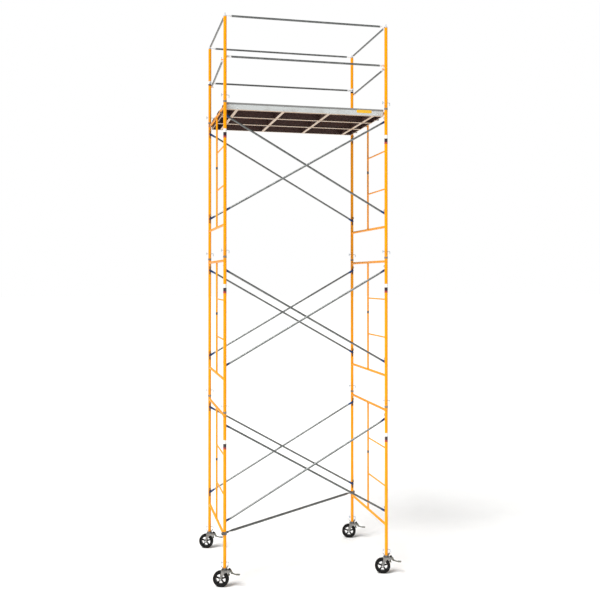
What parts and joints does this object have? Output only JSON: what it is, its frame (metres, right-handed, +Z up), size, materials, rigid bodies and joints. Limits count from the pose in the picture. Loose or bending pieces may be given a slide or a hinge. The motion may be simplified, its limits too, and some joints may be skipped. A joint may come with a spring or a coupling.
{
  "type": "rolling frame scaffold tower",
  "caption": "Rolling frame scaffold: stacked ladder-type end frames with cross braces, hooked planks, guardrails and locking swivel casters.",
  "frame": {"origin": "on the floor, midway between the four legs; the pedals and wheels move the middle of the outer box about 23 mm towards +X and 7 mm towards -Y", "axes": "+X along the bay, +Y from the front (ladder side of the frames) to the back, +Z up"},
  "size_m": [2.4674, 1.6808, 7.2122],
  "materials": {
    "orange_enamel": "semi-gloss orange-yellow enamel on steel tube",
    "lock_rod": "dark, slightly rusted steel rod",
    "galvanised_tube": "galvanised steel tube; the flattened ends are painted dark blue on the braces",
    "clamp_steel": "dull grey forged steel",
    "zinc_pin": "dull zinc-plated steel",
    "bright_zinc": "bright zinc-plated wire and rod",
    "plank_metal": "mill-finish aluminium extrusion",
    "plywood": "dark resin-faced plywood",
    "zinc_fork": "pressed steel, zinc plated",
    "rim_black": "black enamelled cast rim",
    "tyre_rubber": "solid black rubber"
  },
  "bodies": {
    "tower": {"frame_1_left": "orange_enamel", "frame_1_right": "orange_enamel", "frame_2_left": "orange_enamel", "frame_2_right": "orange_enamel", "frame_3_left": "orange_enamel", "frame_3_right": "orange_enamel", "braces_1_front": "galvanised_tube", "braces_1_back": "galvanised_tube", "braces_2_front": "galvanised_tube", "braces_2_back": "galvanised_tube", "braces_3_front": "galvanised_tube", "braces_3_back": "galvanised_tube", "plan_brace": "galvanised_tube", "plan_clamps": "clamp_steel", "coupling_pins": "zinc_pin", "toggle_pins": "bright_zinc", "plank_1_frame": "plank_metal", "plank_2_frame": "plank_metal", "plank_3_frame": "plank_metal", "plank_1_deck": "plywood", "plank_2_deck": "plywood", "plank_3_deck": "plywood", "guard_posts": "orange_enamel", "top_rails_long": "galvanised_tube", "top_rails_end": "galvanised_tube", "mid_rails_long": "galvanised_tube", "mid_rails_end": "galvanised_tube", "rail_pins": "bright_zinc", "caster_fl_stem": "zinc_pin", "caster_fr_stem": "zinc_pin", "caster_bl_stem": "zinc_pin", "caster_br_stem": "zinc_pin"},
    "fork_fl": {"caster_fl_fork": "zinc_fork", "caster_fl_axle": "zinc_pin"},
    "wheel_fl": {"caster_fl_rim": "rim_black", "caster_fl_tyre": "tyre_rubber"},
    "pedal_fl": {"caster_fl_pedal": "zinc_fork"},
    "fork_fr": {"caster_fr_fork": "zinc_fork", "caster_fr_axle": "zinc_pin"},
    "wheel_fr": {"caster_fr_rim": "rim_black", "caster_fr_tyre": "tyre_rubber"},
    "pedal_fr": {"caster_fr_pedal": "zinc_fork"},
    "fork_bl": {"caster_bl_fork": "zinc_fork", "caster_bl_axle": "zinc_pin"},
    "wheel_bl": {"caster_bl_rim": "rim_black", "caster_bl_tyre": "tyre_rubber"},
    "pedal_bl": {"caster_bl_pedal": "zinc_fork"},
    "fork_br": {"caster_br_fork": "zinc_fork", "caster_br_axle": "zinc_pin"},
    "wheel_br": {"caster_br_rim": "rim_black", "caster_br_tyre": "tyre_rubber"},
    "pedal_br": {"caster_br_pedal": "zinc_fork"},
    "lock_rods_1_left": {"locks_1_left": "lock_rod"},
    "lock_rods_1_right": {"locks_1_right": "lock_rod"},
    "lock_rods_2_left": {"locks_2_left": "lock_rod"},
    "lock_rods_2_right": {"locks_2_right": "lock_rod"},
    "lock_rods_3_left": {"locks_3_left": "lock_rod"},
    "lock_rods_3_right": {"locks_3_right": "lock_rod"},
    "latches_left": {"wind_latches_left": "clamp_steel"},
    "latches_right": {"wind_latches_right": "clamp_steel"}
  },
  "joints": [
    {"name": "swivel_fl", "type": "hinge", "parent": "tower", "child": "fork_fl", "pos_m": [-1.0668, -0.762, 0.218], "axis": [0, 0, 1], "continuous": true},
    {"name": "swivel_fr", "type": "hinge", "parent": "tower", "child": "fork_fr", "pos_m": [1.0668, -0.762, 0.218], "axis": [0, 0, 1], "continuous": true},
    {"name": "swivel_bl", "type": "hinge", "parent": "tower", "child": "fork_bl", "pos_m": [-1.0668, 0.762, 0.218], "axis": [0, 0, 1], "continuous": true},
    {"name": "swivel_br", "type": "hinge", "parent": "tower", "child": "fork_br", "pos_m": [1.0668, 0.762, 0.218], "axis": [0, 0, 1], "continuous": true},
    {"name": "wheel_spin_fl", "type": "hinge", "parent": "fork_fl", "child": "wheel_fl", "pos_m": [-1.11191, -0.74558, 0.1016], "axis": [0.342, 0.9397, 0], "continuous": true},
    {"name": "wheel_spin_fr", "type": "hinge", "parent": "fork_fr", "child": "wheel_fr", "pos_m": [1.02169, -0.74558, 0.1016], "axis": [0.342, 0.9397, 0], "continuous": true},
    {"name": "wheel_spin_bl", "type": "hinge", "parent": "fork_bl", "child": "wheel_bl", "pos_m": [-1.11191, 0.77842, 0.1016], "axis": [0.342, 0.9397, 0], "continuous": true},
    {"name": "wheel_spin_br", "type": "hinge", "parent": "fork_br", "child": "wheel_br", "pos_m": [1.02169, 0.77842, 0.1016], "axis": [0.342, 0.9397, 0], "continuous": true},
    {"name": "brake_pedal_fl", "type": "hinge", "parent": "fork_fl", "child": "pedal_fl", "pos_m": [-1.00854, -0.78321, 0.206], "axis": [0.342, 0.9397, 0], "range_deg": [0, 16]},
    {"name": "brake_pedal_fr", "type": "hinge", "parent": "fork_fr", "child": "pedal_fr", "pos_m": [1.12506, -0.78321, 0.206], "axis": [0.342, 0.9397, 0], "range_deg": [0, 16]},
    {"name": "brake_pedal_bl", "type": "hinge", "parent": "fork_bl", "child": "pedal_bl", "pos_m": [-1.00854, 0.74079, 0.206], "axis": [0.342, 0.9397, 0], "range_deg": [0, 16]},
    {"name": "brake_pedal_br", "type": "hinge", "parent": "fork_br", "child": "pedal_br", "pos_m": [1.12506, 0.74079, 0.206], "axis": [0.342, 0.9397, 0], "range_deg": [0, 16]},
    {"name": "lock_lift_1_left", "type": "slide", "parent": "tower", "child": "lock_rods_1_left", "axis": [0, 0, 1], "range_m": [0, 0.026]},
    {"name": "lock_lift_1_right", "type": "slide", "parent": "tower", "child": "lock_rods_1_right", "axis": [0, 0, 1], "range_m": [0, 0.026]},
    {"name": "lock_lift_2_left", "type": "slide", "parent": "tower", "child": "lock_rods_2_left", "axis": [0, 0, 1], "range_m": [0, 0.026]},
    {"name": "lock_lift_2_right", "type": "slide", "parent": "tower", "child": "lock_rods_2_right", "axis": [0, 0, 1], "range_m": [0, 0.026]},
    {"name": "lock_lift_3_left", "type": "slide", "parent": "tower", "child": "lock_rods_3_left", "axis": [0, 0, 1], "range_m": [0, 0.026]},
    {"name": "lock_lift_3_right", "type": "slide", "parent": "tower", "child": "lock_rods_3_right", "axis": [0, 0, 1], "range_m": [0, 0.026]},
    {"name": "latch_swing_left", "type": "hinge", "parent": "tower", "child": "latches_left", "pos_m": [-1.0267, 0, 6.0139], "axis": [0, 1, 0], "range_deg": [-80, 0]},
    {"name": "latch_swing_right", "type": "hinge", "parent": "tower", "child": "latches_right", "pos_m": [1.0267, 0, 6.0139], "axis": [0, 1, 0], "range_deg": [0, 80]}
  ]
}
